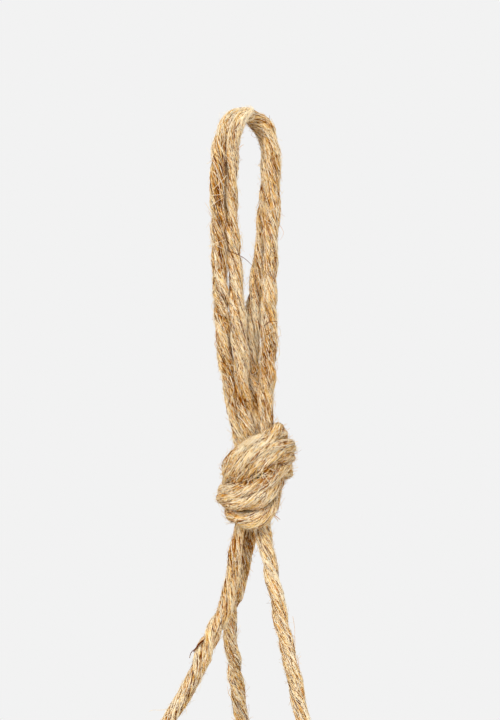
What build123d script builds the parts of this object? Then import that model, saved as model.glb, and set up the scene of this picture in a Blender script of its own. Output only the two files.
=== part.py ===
from build123d import *
import math
import os

# Hanging rope planter, in millimetres, +Z up, front towards -Y.
# The origin is the hook point: the inside of the rope loop at its top.

# Rope and fits
ROPE_D = 6.0
CLEARANCE = 0.3
WINDING_GAP = 0.45
KNOT_EDGE_FILLET = 1.5

# Top knot: a barrel of rope with a three-strand band wound round it
TOP_KNOT_X = 4.0
TOP_KNOT_TOP_Z = -142.0
TOP_KNOT_CORE_R = 11.0
TOP_KNOT_BAND_STRANDS = 3
TOP_KNOT_BAND_TURNS = 1.5
TOP_KNOT_BAND_START = 150.0
LOOP_FOOT_Z = -84.0

# Pot
POT_AXIS_X = -3.5
POT_RIM_Z = -378.0
POT_RIM_R = 62.0
POT_BASE_R = 46.0
POT_HEIGHT = 118.0
POT_WALL = 5.0
POT_FLOOR = 7.0
POT_BASE_FILLET = 4.0
POT_RIM_FILLET = 2.0
POT_FOOT_WIDTH = 9.0
POT_FOOT_RECESS = 1.5
POT_DRAIN_R = 6.0

# Net knots: small barrels, one strand wound round each
NET_KNOT_CORE_R = 6.5
NET_KNOT_TURNS = 2.0
UPPER_KNOT_RING_R = 75.0
UPPER_KNOT_TOP_Z = -352.0
LOWER_KNOT_DROP = 62.0

# Gathering knot under the pot, and the tassel below it
GATHER_CORE_R = 9.8
GATHER_TURNS = 4.0
GATHER_DROP = 17.0
GATHER_BALL_R = 14.0
STRAND_RING_R = 6.6
TASSEL_LENGTH = 104.0
TASSEL_SPREAD = (0.3, 1.6, 3.8, 5.0)
TASSEL_STAGGER_Z = 2.5
TASSEL_STAGGER_R = 1.0

# How far the two cords of a pair part beside their knots, and how far they leave the knots' ring
NET_FLARE_TOP = 4.0
NET_FLARE_FOOT = 5.0
NET_INSET_TOP = 0.5
NET_INSET_SIDE = 3.0
NET_OUTSET_SIDE = 4.0
NET_OUTSET_FOOT = 1.5
BASE_FLARE = (0.5, 2.0, 3.2)
BASE_INSET = 2.0
BASE_EDGE_OUTSET = (9.3, 0.6)
BASE_SAG = (1.0, 0.4, 1.5)

LEG_ANGLES = {"left": 196.0, "right": 316.0, "back": 76.0}
GAP_ANGLES = {"front": 256.0, "rear_right": 16.0, "rear_left": 136.0}
NET_SIDES = {
    "left": ("front", "rear_left"),
    "right": ("rear_right", "front"),
    "back": ("rear_left", "rear_right"),
}

# Routes of the two ropes that make the loop, from the left foot over the hook to the right foot
OUTER_LOOP_ROUTE = [
    (-2.8, 0.2, -150), (-6.3, 0.2, -128), (-10.2, -0.4, -106), (-12.6, -1.0, -78),
    (-13.9, -1.8, -44), (-13.4, -2.6, -16), (-9.8, -3.4, -1.5), (-2.2, -3.4, 4.4),
    (6.6, -3.4, 2.6), (12.4, -3.2, -9), (13.7, -3.0, -34), (12.2, -3.0, -68),
    (10.9, -3.1, -98), (11.0, -3.3, -124), (9.6, -3.3, -150),
]
INNER_LOOP_ROUTE = [
    (3.0, -3.2, -150), (1.6, -3.2, -128), (-0.6, -3.2, -106), (-3.9, -1.4, -80),
    (-6.2, 0.8, -48), (-6.9, 2.6, -18), (-6.8, 3.4, -0.4), (1.2, 3.4, 4.2),
    (9.2, 3.4, -0.4), (9.3, 2.9, -18), (7.6, 2.7, -52), (2.9, 2.8, -90),
    (3.7, 2.9, -114), (6.5, 2.6, -150),
]

# Routes of the legs between the top knot and the knots at the pot's rim, without the last points
LEG_ROUTES = {
    "left": [
        (-4.0, -0.4, -180), (-6.4, -2.0, -202), (-9.2, -4.0, -222), (-16.2, -6.0, -238),
        (-26.0, -8.4, -259), (-43.5, -12.6, -297),
    ],
    "right": [
        (6.6, -1.6, -180), (10.4, -7.0, -203), (15.2, -13.4, -226), (20.8, -20.8, -250),
        (29.0, -29.8, -282),
    ],
    "back": [
        (2.6, 2.6, -180), (0.8, 9.0, -200), (-3.8, 17.0, -220), (-7.0, 25.4, -240),
        (-4.6, 34.6, -258), (-1.0, 44.6, -282), (5.6, 57.0, -314),
    ],
}


def around(angle, radius, z):
    """A point at an angle in degrees and a distance from the pot's axis."""
    turn = math.radians(angle)
    return (POT_AXIS_X + radius * math.cos(turn), radius * math.sin(turn), z)


def beside(angle, shift, radius, z):
    """A point at an angle and distance from the pot's axis, then shifted sideways along the ring."""
    turn = math.radians(angle)
    x, y, z = around(angle, radius, z)
    return (x - shift * math.sin(turn), y + shift * math.cos(turn), z)


def rope_path(points):
    """Straight runs joined by the largest tangent arcs that their runs allow."""
    corners = [Vector(p) for p in points]
    radii = []
    for before, corner, after in zip(corners, corners[1:], corners[2:]):
        into, out = corner - before, after - corner
        half_turn = math.radians(into.get_angle(out)) / 2
        radii.append(0.45 * min(into.length, out.length) / math.tan(half_turn))
    return FilletPolyline(*points, radius=radii), radii


def tube(path):
    """Rope section carried along a path."""
    section = Plane(origin=path @ 0, z_dir=path % 0) * Circle(ROPE_D / 2)
    return sweep(section, path=path)


def rope(name, points):
    """A rope along a route, with its tightest bend and its volume against section times length."""
    path, radii = rope_path(points)
    solid = tube(path)
    share = solid.volume / (math.pi * ROPE_D**2 / 4 * path.length)
    print(f"{name}: length {path.length:.1f}, radii from {min(radii):.1f}, volume ratio {share:.4f}")
    return solid


def above(solid, z):
    return split(solid, bisect_by=Plane.XY.offset(z), keep=Keep.TOP)


def below(solid, z):
    return split(solid, bisect_by=Plane.XY.offset(z), keep=Keep.BOTTOM)


def biarc(start, start_dir, end, end_dir):
    """Two tangent arcs between two points with given directions, of equal end lengths."""
    span = end - start
    both = start_dir + end_dir
    spread = 2 * (1 - start_dir.dot(end_dir))
    along = span.dot(both)
    reach = (math.sqrt(along**2 + spread * span.dot(span)) - along) / spread
    middle = (start + end + (start_dir - end_dir) * reach) * 0.5
    middle_dir = (end - end_dir * reach - start - start_dir * reach).normalized()
    return [
        Edge.make_tangent_arc(start, start_dir, middle),
        Edge.make_tangent_arc(middle, middle_dir, end),
    ]


def winding(axis_x, axis_y, top_z, core_r, strands, turns, start_angle):
    """Rope strands wound side by side as a rising helix round a core, each one unbroken tube.

    Each strand is biarcs of a quarter turn with straight ends of one rope diameter.
    Returns the solids, and the height that the winding takes up.
    """
    wind_r = core_r + CLEARANCE + ROPE_D / 2
    lead_angle = math.asin(strands * (ROPE_D + WINDING_GAP) / (2 * math.pi * wind_r))
    pitch = 2 * math.pi * wind_r * math.tan(lead_angle)
    step = pitch / strands
    height = turns * pitch + (strands - 1) * step + ROPE_D
    low_z = top_z - height + ROPE_D / 2
    quarters = round(turns * 4)

    def place(strand, quarter):
        turn = math.radians(start_angle + 90 * quarter * turns * 4 / quarters)
        at = Vector(wind_r * math.cos(turn), wind_r * math.sin(turn), 0)
        rise = low_z + strand * step + pitch * turns * quarter / quarters
        flow = Vector(-math.sin(turn), math.cos(turn), math.tan(lead_angle)).normalized()
        return at + Vector(axis_x, axis_y, rise), flow

    solids, centre_lines = [], []
    for strand in range(strands):
        nodes = [place(strand, quarter) for quarter in range(quarters + 1)]
        (first, first_dir), (last, last_dir) = nodes[0], nodes[-1]
        edges = [Edge.make_line(first - first_dir * ROPE_D, first)]
        for (start, start_dir), (end, end_dir) in zip(nodes, nodes[1:]):
            edges += biarc(start, start_dir, end, end_dir)
        edges.append(Edge.make_line(last, last + last_dir * ROPE_D))
        path = Wire(edges)
        solids += tube(path).solids()
        count = quarters * 12
        centre_lines.append([path @ (i / count) for i in range(count + 1)])
    print(f"winding round {core_r:.1f}: least gap {least_gap(centre_lines):.2f}")
    return Compound(children=solids), height


def least_gap(centre_lines):
    """Least surface gap between strands, and between turns of one strand, on sampled points."""
    found = []
    for i, one in enumerate(centre_lines):
        for j, other in enumerate(centre_lines[i:], start=i):
            for a, p in enumerate(one):
                for b, q in enumerate(other):
                    if i != j or abs(a - b) > 24:
                        found.append((p - q).length - ROPE_D)
    return min(found)


def barrel(x, y, top_z, radius, height):
    """The packed strands inside a knot: a round-edged cylinder."""
    body = Pos(x, y, top_z - height / 2) * Cylinder(radius, height)
    return fillet(body.edges().filter_by(GeomType.CIRCLE), KNOT_EDGE_FILLET)


def net_knot(angle, radius, top_z):
    """Core and winding of one net knot. The core stands half a rope proud at each end."""
    x, y, _ = around(angle, radius, top_z)
    turns, height = winding(x, y, top_z, NET_KNOT_CORE_R, 1, NET_KNOT_TURNS, angle + 180)
    return barrel(x, y, top_z, NET_KNOT_CORE_R, height), turns, top_z - height


def pot_radius(z):
    """Outer radius of the pot's tapering wall at a height."""
    share = (POT_RIM_Z - z) / POT_HEIGHT
    return POT_RIM_R + (POT_BASE_R - POT_RIM_R) * share


def make_pot():
    """Thrown pot: tapering wall, rounded rim, foot ring and drain hole."""
    base_z = POT_RIM_Z - POT_HEIGHT
    floor_z = base_z + POT_FLOOR
    outline = Polyline(
        (POT_DRAIN_R, floor_z),
        (pot_radius(floor_z) - POT_WALL, floor_z),
        (POT_RIM_R - POT_WALL, POT_RIM_Z),
        (POT_RIM_R, POT_RIM_Z),
        (POT_BASE_R, base_z),
        (POT_BASE_R - POT_FOOT_WIDTH, base_z),
        (POT_BASE_R - POT_FOOT_WIDTH, base_z + POT_FOOT_RECESS),
        (POT_DRAIN_R, base_z + POT_FOOT_RECESS),
        close=True,
    )
    face = make_face(outline)
    rim = [v for v in face.vertices() if abs(v.Y - POT_RIM_Z) < CLEARANCE]
    face = fillet(rim, POT_RIM_FILLET)
    edge = [v for v in face.vertices() if v.Y < floor_z and abs(v.X - POT_BASE_R) < CLEARANCE]
    face = fillet(edge, POT_BASE_FILLET)
    corner = [v for v in face.vertices() if abs(v.Y - floor_z) < CLEARANCE and v.X > 2 * POT_DRAIN_R]
    face = fillet(corner, POT_BASE_FILLET)
    profile = Plane.XZ * face
    return Pos(POT_AXIS_X, 0, 0) * revolve(profile, Axis.Z)


nodes = {}

# Loop: two ropes over the hook, then four strands down to the top knot
strand_foot_z = TOP_KNOT_TOP_Z + CLEARANCE
for name, route in (("outer", OUTER_LOOP_ROUTE), ("inner", INNER_LOOP_ROUTE)):
    whole = rope(f"loop rope {name}", route)
    nodes[f"loop_rope_{name}"] = above(whole, LOOP_FOOT_Z)
    strands = above(below(whole, LOOP_FOOT_Z), strand_foot_z).solids().sort_by(Axis.X)
    nodes[f"neck_strand_left_{name}"] = strands[0]
    nodes[f"neck_strand_right_{name}"] = strands[1]

# Top knot
band, top_knot_height = winding(
    TOP_KNOT_X, 0, TOP_KNOT_TOP_Z, TOP_KNOT_CORE_R,
    TOP_KNOT_BAND_STRANDS, TOP_KNOT_BAND_TURNS, TOP_KNOT_BAND_START,
)
nodes["top_knot_core"] = barrel(TOP_KNOT_X, 0, TOP_KNOT_TOP_Z, TOP_KNOT_CORE_R, top_knot_height)
nodes["top_knot_band"] = band
top_knot_foot_z = TOP_KNOT_TOP_Z - top_knot_height

# Legs, and the knots where each leg meets its two net cords
net_foot_z = {}
for side, angle in LEG_ANGLES.items():
    core, turns, net_foot_z[side] = net_knot(angle, UPPER_KNOT_RING_R, UPPER_KNOT_TOP_Z)
    nodes[f"upper_knot_{side}_core"] = core
    nodes[f"upper_knot_{side}_turns"] = turns
    knot = Vector(around(angle, UPPER_KNOT_RING_R, UPPER_KNOT_TOP_Z))
    last = Vector(LEG_ROUTES[side][-1])
    approach = last + (knot - last) * 0.55 - Vector(0, 0, ROPE_D / 2)
    route = LEG_ROUTES[side] + [tuple(approach), tuple(knot - Vector(0, 0, ROPE_D))]
    leg = rope(f"leg {side}", route)
    nodes[f"leg_{side}"] = above(below(leg, top_knot_foot_z), UPPER_KNOT_TOP_Z)

# Net round the pot's side: from each upper knot, one cord to the knot on either side
net_knot_r = NET_KNOT_CORE_R + CLEARANCE + ROPE_D
lower_top_z = POT_RIM_Z - LOWER_KNOT_DROP
lower_ring_r = pot_radius(lower_top_z) + CLEARANCE + net_knot_r
cord_shift = (ROPE_D + WINDING_GAP) / 2
for side, angle in LEG_ANGLES.items():
    for way, gap_side in zip((1, -1), NET_SIDES[side]):
        foot_z = net_foot_z[side]
        drop = foot_z - lower_top_z
        route = [
            beside(angle, way * cord_shift, UPPER_KNOT_RING_R, foot_z + ROPE_D),
            beside(
                angle, way * (cord_shift + NET_FLARE_TOP), UPPER_KNOT_RING_R - NET_INSET_TOP,
                foot_z - 0.16 * drop,
            ),
            around(angle + way * 19, UPPER_KNOT_RING_R - NET_INSET_SIDE, foot_z - 0.42 * drop),
            around(angle + way * 38, lower_ring_r + NET_OUTSET_SIDE, foot_z - 0.66 * drop),
            beside(
                angle + way * 60, -way * (cord_shift + NET_FLARE_FOOT), lower_ring_r + NET_OUTSET_FOOT,
                foot_z - 0.88 * drop,
            ),
            beside(angle + way * 60, -way * cord_shift, lower_ring_r, lower_top_z - ROPE_D),
        ]
        cord = rope(f"net cord {side} to {gap_side}", route)
        nodes[f"net_cord_{side}_{gap_side}"] = above(below(cord, foot_z), lower_top_z)

# Lower knots, and the cords that run under the pot's base to the gathering knot
base_z = POT_RIM_Z - POT_HEIGHT
under_z = base_z - CLEARANCE - ROPE_D / 2
gather_top_z = base_z - GATHER_DROP
for gap_side, angle in GAP_ANGLES.items():
    core, turns, foot_z = net_knot(angle, lower_ring_r, lower_top_z)
    nodes[f"lower_knot_{gap_side}_core"] = core
    nodes[f"lower_knot_{gap_side}_turns"] = turns
    for way, hand in ((1, "a"), (-1, "b")):
        route = [
            beside(angle, way * cord_shift, lower_ring_r, foot_z + ROPE_D),
            beside(angle, way * (cord_shift + BASE_FLARE[0]), lower_ring_r - BASE_INSET, foot_z - 2 * ROPE_D),
            beside(
                angle, way * (cord_shift + BASE_FLARE[1]), POT_BASE_R + BASE_EDGE_OUTSET[0], base_z + ROPE_D
            ),
            beside(
                angle, way * (cord_shift + BASE_FLARE[2]), POT_BASE_R + BASE_EDGE_OUTSET[1],
                under_z - BASE_SAG[0],
            ),
            around(angle + way * 17, 0.62 * POT_BASE_R, under_z + BASE_SAG[1]),
            around(angle + way * 28, 2.2 * STRAND_RING_R, under_z - BASE_SAG[2]),
            around(angle + way * 30, STRAND_RING_R, gather_top_z - ROPE_D),
        ]
        cord = rope(f"base cord {gap_side} {hand}", route)
        nodes[f"base_cord_{gap_side}_{hand}"] = above(below(cord, foot_z), gather_top_z)

# Gathering knot: its core ends in a ball face that the tassel swings under
wraps, gather_height = winding(POT_AXIS_X, 0, gather_top_z, GATHER_CORE_R, 1, GATHER_TURNS, 90)
pivot_z = gather_top_z - gather_height
core_foot_z = pivot_z - GATHER_BALL_R
core = Pos(POT_AXIS_X, 0, (gather_top_z + core_foot_z) / 2) * Cylinder(
    GATHER_CORE_R, gather_top_z - core_foot_z
)
ball = Pos(POT_AXIS_X, 0, pivot_z) * Sphere(GATHER_BALL_R)
upper_core = above(core, pivot_z)
nodes["gather_knot_core"] = upper_core + (below(core, pivot_z) & ball)
nodes["gather_knot_wraps"] = wraps

# Tassel: the ends of the base cords
tassel_ball = Pos(POT_AXIS_X, 0, pivot_z) * Sphere(GATHER_BALL_R + CLEARANCE)
tassel_angles = [angle + way * 30 for angle in GAP_ANGLES.values() for way in (1, -1)]
for number, angle in enumerate(sorted(a % 360 for a in tassel_angles), start=1):
    foot_z = core_foot_z - TASSEL_LENGTH + TASSEL_STAGGER_Z * (number % 3)
    route = [
        around(angle, STRAND_RING_R, pivot_z),
        around(angle, STRAND_RING_R + TASSEL_SPREAD[0], core_foot_z - 0.16 * TASSEL_LENGTH),
        around(angle + 2, STRAND_RING_R + TASSEL_SPREAD[1], core_foot_z - 0.42 * TASSEL_LENGTH),
        around(angle + 1, STRAND_RING_R + TASSEL_SPREAD[2], core_foot_z - 0.72 * TASSEL_LENGTH),
        around(angle, STRAND_RING_R + TASSEL_SPREAD[3] + TASSEL_STAGGER_R * (number % 2), foot_z),
    ]
    nodes[f"tassel_strand_{number}"] = rope(f"tassel strand {number}", route) - tassel_ball

nodes["pot"] = make_pot()

os.makedirs("parts", exist_ok=True)
for name, solid in nodes.items():
    export_step(solid, f"parts/{name}.step")
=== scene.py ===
"""Dresses the rope planter: jute ropes laid up from plies, knots, stray fibres, pot, camera and light."""
import math

import bpy
import numpy as np
from bpy.props import FloatProperty, FloatVectorProperty, IntProperty, PointerProperty
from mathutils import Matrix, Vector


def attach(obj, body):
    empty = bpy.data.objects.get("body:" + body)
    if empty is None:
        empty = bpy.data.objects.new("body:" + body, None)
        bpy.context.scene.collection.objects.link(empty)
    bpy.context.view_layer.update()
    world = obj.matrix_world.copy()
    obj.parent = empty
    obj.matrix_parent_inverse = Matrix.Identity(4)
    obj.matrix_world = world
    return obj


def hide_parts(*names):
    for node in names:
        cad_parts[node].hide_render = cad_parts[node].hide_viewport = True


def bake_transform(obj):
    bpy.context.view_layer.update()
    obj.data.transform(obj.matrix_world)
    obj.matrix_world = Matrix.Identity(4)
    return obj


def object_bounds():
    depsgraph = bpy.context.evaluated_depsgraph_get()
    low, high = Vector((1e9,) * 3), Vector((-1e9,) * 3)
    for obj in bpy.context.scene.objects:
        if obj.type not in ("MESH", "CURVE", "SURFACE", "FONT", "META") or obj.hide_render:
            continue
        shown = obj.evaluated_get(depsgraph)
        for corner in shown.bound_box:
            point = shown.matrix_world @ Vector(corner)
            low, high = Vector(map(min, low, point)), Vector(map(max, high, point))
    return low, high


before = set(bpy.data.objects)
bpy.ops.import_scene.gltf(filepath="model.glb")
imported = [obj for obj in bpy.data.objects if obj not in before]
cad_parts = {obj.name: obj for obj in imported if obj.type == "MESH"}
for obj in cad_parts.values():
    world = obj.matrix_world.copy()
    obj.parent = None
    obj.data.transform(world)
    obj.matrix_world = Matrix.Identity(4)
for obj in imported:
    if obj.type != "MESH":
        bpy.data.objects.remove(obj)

bl_info = {
    "name": "Rope Planter",
    "version": (1, 0, 0),
    "blender": (4, 5, 0),
    "location": "View3D > Sidebar > Planter",
    "description": "Builds a jute rope planter round a fixed frame of bodies",
    "category": "Object",
}

CAD_BOX = [list(corner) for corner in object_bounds()]
MM = 0.001

# Photograph frame: size of a pixel on the object, and the pixel of the hook point
PIXEL_MM = 0.4615
HOOK_PX = (246.0, 120.0)
PICTURE_PX = (500, 720)

# Floor, in metres: half its side, its drop below the tassel, and how much farther from the hook than its
# nearest point it starts to fade
FLOOR_HALF = 1.5
FLOOR_DROP = 0.06
FLOOR_FADE = 0.1

# Lamps: place and size in metres, power in watts; they face a point below the hook
LAMPS = {
    "key": ((-0.9, -1.3, 0.7), 0.8, 20.0),
    "fill": ((1.2, -1.1, 0.0), 1.0, 7.5),
    "top": ((0.2, 0.3, 1.1), 0.8, 5.0),
}
LAMP_AIM = (0.0, 0.0, -0.15)
WORLD_STRENGTH = 0.63
SENSOR_MM = 36.0

# Places shared with the solid model, in millimetres
POT_AXIS_X = -3.5
POT_RIM_Z = -378.0
POT_RIM_R = 62.0
POT_BASE_R = 46.0
POT_HEIGHT = 118.0
POT_WALL = 5.0
POT_FLOOR = 7.0
POT_FOOT_WIDTH = 9.0
POT_FOOT_RECESS = 1.5
POT_DRAIN_R = 6.0
ROPE_MM = 6.0
FIT = 0.3
WINDING_GAP = 0.45
NET_KNOT_CORE_R = 6.5
UPPER_RING_R = 75.0
UPPER_TOP_Z = -352.0
LOWER_TOP_Z = -440.0
LOWER_RING_R = 66.69
NET_KNOT_HEIGHT = 19.0
NET_KNOT_TURNS = 2
GATHER_TOP_Z = -513.0
GATHER_CORE_R = 9.8
GATHER_TURNS = 4
PIVOT_Z = -544.9
TASSEL_TOP_Z = -559.0
TASSEL_LENGTH = 104.0
STRAND_RING_R = 6.6
CORD_TURN = 30
LEG_ANGLES = {"left": 196.0, "right": 316.0, "back": 76.0}
GAP_ANGLES = {"front": 256.0, "rear_right": 16.0, "rear_left": 136.0}
NET_SIDES = {
    "left": ("front", "rear_left"),
    "right": ("rear_right", "front"),
    "back": ("rear_left", "rear_right"),
}

# Net cords, in mm and degrees: how far they part beside their knots and lie off the rings of knots, their
# turns round the pot, and the shares of their drop where these hold
NET_FLARE_TOP = 4.0
NET_FLARE_FOOT = 5.0
NET_INSET_TOP = 0.5
NET_INSET_SIDE = 3.0
NET_OUTSET_SIDE = 4.0
NET_OUTSET_FOOT = 1.5
NET_TURNS = (19, 38, 60)
NET_DROPS = (0.16, 0.42, 0.66, 0.88)

# Base cords, in mm and degrees: the same, and their sag under the pot
BASE_FLARE = (0.5, 2.0, 3.2)
BASE_INSET = 2.0
BASE_DROP = 12.0
BASE_EDGE_OUTSET = (1.55 * ROPE_MM, 0.6)
BASE_SAG = (1.0, 0.4, 1.5)
BASE_TURNS = (17, 28)

# Ends of cords inside the knots: share of their spread that is left there, and how deep they run in, in mm
KNOT_PINCH = 0.6
KNOT_REACH = (14.0, 4.0)
GATHER_REACH = (6.0, 20.0)

# Tassel: how far its cords are drawn in at heights about the pivot; their turn, radius and share of the drop
# below it; radius of their ends and step between the ends' heights
TASSEL_TUCKS = ((2.4, 5.0), (1.2, -4.0))
TASSEL_COURSE = ((0, 6.9, 0.16), (2, 8.2, 0.42), (1, 10.4, 0.72))
TASSEL_END_R = 11.6
TASSEL_STAGGER_Z = 2.5

# Top knot: heights where ropes enter and leave it, its upright axis, the thickness of its strands against a
# free rope, the radius of their plies as a share of it, and the pixel row of its top
TOP_KNOT_TOP_Z = -153.0
TOP_KNOT_FOOT_Z = -180.0
TOP_KNOT_AXIS = (4.0, 0.0)
TOP_KNOT_THICK = 1.1
TOP_KNOT_PLY_SHARE = 0.61
TOP_KNOT_TOP_PX = 440

# Wound knots of the net: thickness of their cord against a free one, points in a turn, tilt in mm, shares of
# the reach at the ends, angle between the starts of two knots, and where the gathering knot starts
WOUND_THICK = 1.06
COIL_POINTS = 14
COIL_TILT = 1.2
COIL_TUCK = (0.45, 0.8)
KNOT_START = 77.0
GATHER_START = 40.0

# Top of the neck of the loop, and a height above the whole loop
NECK_TOP_Z = -84.0
ABOVE_LOOP_Z = 20.0

# Routes of the two loop ropes, left foot to right foot
LOOP_ROUTES = {
    "outer": [
        (1.8, 0.6, -175.4), (0.2, 0.8, -161.5), (-2.8, 0.2, -145.8), (-6.0, 0.2, -129.2),
        (-9.8, -0.4, -109.2), (-11.0, -1.2, -92.3), (-11.9, -1.8, -73.8), (-12.9, -2.2, -55.4),
        (-13.0, -2.8, -36.9), (-13.0, -3.2, -23.1), (-12.6, -3.2, -13.8), (-11.7, -3.0, -8.3),
        (-9.5, -2.0, -1.8), (-6.2, -0.6, 1.8), (-2.8, 0.4, 2.6), (0.5, 0.8, 2.6), (3.2, 1.4, 2.0),
        (6.5, 2.0, -0.2), (9.5, 2.0, -3.0), (11.1, 1.8, -6.9), (11.9, 1.6, -11.5), (12.5, 1.4, -17.1),
        (12.6, 1.0, -25.4), (12.5, 0.2, -39.2), (11.4, -1.0, -55.4), (11.1, -2.4, -73.8),
        (10.3, -3.0, -92.3), (10.6, -3.2, -111.2), (9.0, -3.3, -129.2), (9.2, -3.0, -145.8),
        (7.4, -1.6, -161.5), (5.5, -0.8, -175.4),
    ],
    "inner": [
        (3.7, -0.8, -175.4), (2.8, -2.2, -161.5), (1.8, -3.2, -145.8), (-1.2, -3.2, -129.2),
        (-2.2, -3.2, -109.2), (-3.9, -2.0, -92.3), (-4.6, -0.2, -73.8), (-6.7, 0.8, -55.4),
        (-7.3, 0.8, -36.9), (-7.2, 0.4, -23.1), (-6.6, -1.4, -13.8), (-5.8, -3.6, -7.8),
        (-4.2, -5.4, -2.8), (-1.4, -6.6, 1.4), (0.9, -5.0, 2.4), (1.5, 1.0, 2.3), (2.5, 7.4, 0.9),
        (5.3, 8.4, -1.6), (7.9, 8.0, -5.3), (9.7, 7.4, -9.2), (10.5, 7.0, -13.8), (10.4, 6.6, -20.8),
        (10.0, 6.0, -30.0), (9.0, 5.4, -39.2), (7.8, 4.4, -55.4), (5.2, 3.4, -73.8), (3.0, 3.0, -92.3),
        (1.9, 1.8, -108.6), (4.2, 0.2, -128.2), (5.6, -0.6, -145.8), (5.1, 1.2, -161.5),
        (4.2, 1.6, -175.4),
    ],
}

# Where the loop is pulled thin over the hook and frayed thick at the neck: place, spread and share
LOOP_SWELLS = [((0.0, 0.0, 2.5), 11.0, -0.09), ((0.0, 0.0, -102.0), 26.0, 0.13)]

# Routes of the legs, from inside the top knot to inside the knot at the pot's rim
LEG_ROUTES = {
    "left": [
        (1.8, 0.0, -161.5), (0.5, -0.2, -175.4), (-2.5, -0.6, -189.2), (-5.1, -2.0, -202.1),
        (-6.9, -3.6, -214.6), (-9.2, -5.0, -225.7), (-15.5, -6.4, -236.3), (-20.8, -8.4, -249.2),
        (-27.2, -10.4, -263.1), (-34.6, -12.4, -275.1), (-43.5, -12.6, -290.0), (-62.0, -17.4, -331.0),
        (-75.6, -20.7, -358.0), (-75.6, -20.7, -368.0),
    ],
    "right": [
        (5.5, -0.6, -161.5), (6.0, -1.2, -175.4), (7.9, -4.2, -189.2), (10.8, -8.4, -204.0),
        (14.5, -13.4, -221.5), (17.3, -18.0, -236.3), (20.8, -22.4, -250.1), (23.3, -26.2, -263.1),
        (26.1, -30.0, -276.0), (29.6, -33.6, -290.0), (40.8, -42.0, -324.0), (50.5, -52.1, -358.0),
        (50.5, -52.1, -368.0),
    ],
    "back": [
        (2.8, 1.0, -161.5), (2.8, 2.6, -175.4), (1.8, 6.0, -189.2), (-0.5, 11.6, -203.1),
        (-3.9, 17.0, -216.9), (-7.8, 21.6, -228.0), (-7.4, 26.0, -238.1), (-6.2, 31.0, -250.1),
        (-4.6, 38.0, -263.1), (-2.9, 44.0, -276.0), (-0.2, 49.0, -294.0), (5.6, 57.0, -314.0),
        (10.5, 65.8, -338.0), (14.6, 72.8, -358.0), (14.6, 72.8, -368.0),
    ],
}

# Where a leg is thicker: place, spread and share
LEG_SWELLS = {"left": [((-17.5, -7.0, -241.0), 14.0, 0.22)]}

# Shift of tone of each leg
LEG_SHADES = {"left": 0.5, "right": 0.15, "back": 0.25}

# The three strands wound round the top knot: pixel across, pixel down, depth in mm (front is negative)
TOP_KNOT_STRANDS_PX = [
    [
        (260, 505, 6), (269, 500, 9), (255, 500, 14), (240, 496, 12), (230, 490.5, 6), (225, 489, -2),
        (237, 491, -10), (250, 489, -14), (263, 484, -13.5), (272, 476, -11), (280, 468, -8),
        (286.5, 467.5, -1), (283, 476, 5), (275, 471, 10), (265, 463, 13.5), (250, 460, 14.5),
        (240, 461, 11.5), (232, 466, 5), (229.5, 467, -2), (233, 459, -8), (243, 448.5, -12),
        (255, 442.5, -13), (267, 440, -12.5), (272, 434, -10.5), (278, 429, -6), (281, 433, -1),
        (278, 441, 6), (268, 446, 9), (256, 450, 8),
    ],
    [
        (260, 515, 6), (268, 511, 9), (255, 513, 14), (239, 508, 12), (227, 500, 6), (224.5, 497.5, -2),
        (235, 502, -10.5), (250, 502.5, -14.5), (263, 496, -13.5), (273, 487, -9), (277, 480, -1),
        (275, 476, 9), (264, 473, 13.5), (250, 472, 14.5), (238, 473, 11.5), (231, 474, 4),
        (228.5, 474, -4), (237, 468.5, -12), (247, 458, -15), (258, 449.5, -15.5), (270, 445, -13),
        (281, 445, -9), (290, 447, -2), (285, 453, 7), (268, 459, 9),
    ],
    [
        (258, 524, 4), (266, 522, 8), (255, 523, 12), (243, 519, 10), (234, 514, 5), (231, 511, -2),
        (239, 517, -9.5), (252, 520, -12.5), (265, 514.5, -12), (272, 504, -8), (273.5, 490, -1),
        (271, 486, 9), (262, 485, 13), (248, 484, 14), (236, 484, 11), (229, 482, 3), (236, 477, -7),
        (246, 473.5, -12.5), (257, 464, -14.5), (268, 456.5, -13.5), (279, 453.5, -9.5),
        (287, 454.5, -3), (287, 459, 4), (279, 463, 9), (264, 467, 9),
    ],
]

# Places painted darker and lighter: mostly painted shade in valleys, creases and on sides turned from the
# light, and painted light on some bands and on a strand lying in shade; below the top knot partly browner
# fibres. Pixel across, pixel down, depth in mm, spread in mm, shift of tone
PAINTED_LIGHT_AND_SHADE_PX = [
    (222, 158, -5, 3, -4), (220.5, 172, -6, 3, -4), (220, 188, -6, 3, -4),
    (221, 205, -6, 3, -4), (221.5, 222, -5.5, 3, -4), (222.5, 242, -5, 3, -4),
    (224, 264, -5, 3, -4), (221, 300, -5, 3, -3.5), (256, 120, 3, 4, -2.4), (258, 400, -1, 6, -1.5),
    (243, 420, -1, 5, -1), (268, 215, 0, 4, -1.2), (266, 255, 0, 4, -1.2), (250, 545, 4, 5, -2),
    (247, 560, 7, 5, -2), (228, 560, -3, 3, -2), (241, 575, 8, 4, -1.5), (238, 516, -10, 5, -2.6),
    (240, 478, -10, 4, -3), (251, 478, -13, 4, -3.2), (263, 472, -13, 4, -3.2),
    (226, 124, -5, 6, 2.4), (238, 114, -7, 6, 2.6), (249, 111, -5, 5, 2.2), (247, 452, -15, 7, 1.2),
    (262, 444, -14, 6, 1.0), (250, 490, -15, 7, 0.8), (240, 546, -3, 5.5, -1.7), (235, 564, -4, 4.5, -1.5),
    (247, 556, 3, 5.5, -1.7), (229, 555, -2, 3, -2.5), (226, 362, -3.5, 3, -4), (232, 377, -3.5, 2.8, -5),
    (237, 390, -3.8, 2.8, -5), (241, 402, -4.6, 2.6, -4.5), (254, 305, 0, 5, 1.6), (254, 325, -1, 5, 1.6),
    (253, 345, -2, 5, 1.4), (265, 338, -6.5, 3.5, -3), (268, 352, -6.8, 4, -3),
    (265, 366, -6.2, 3.5, -2.4), (262, 375, -3, 3, -2),
    (268, 415, -2, 5, -2),
]

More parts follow.
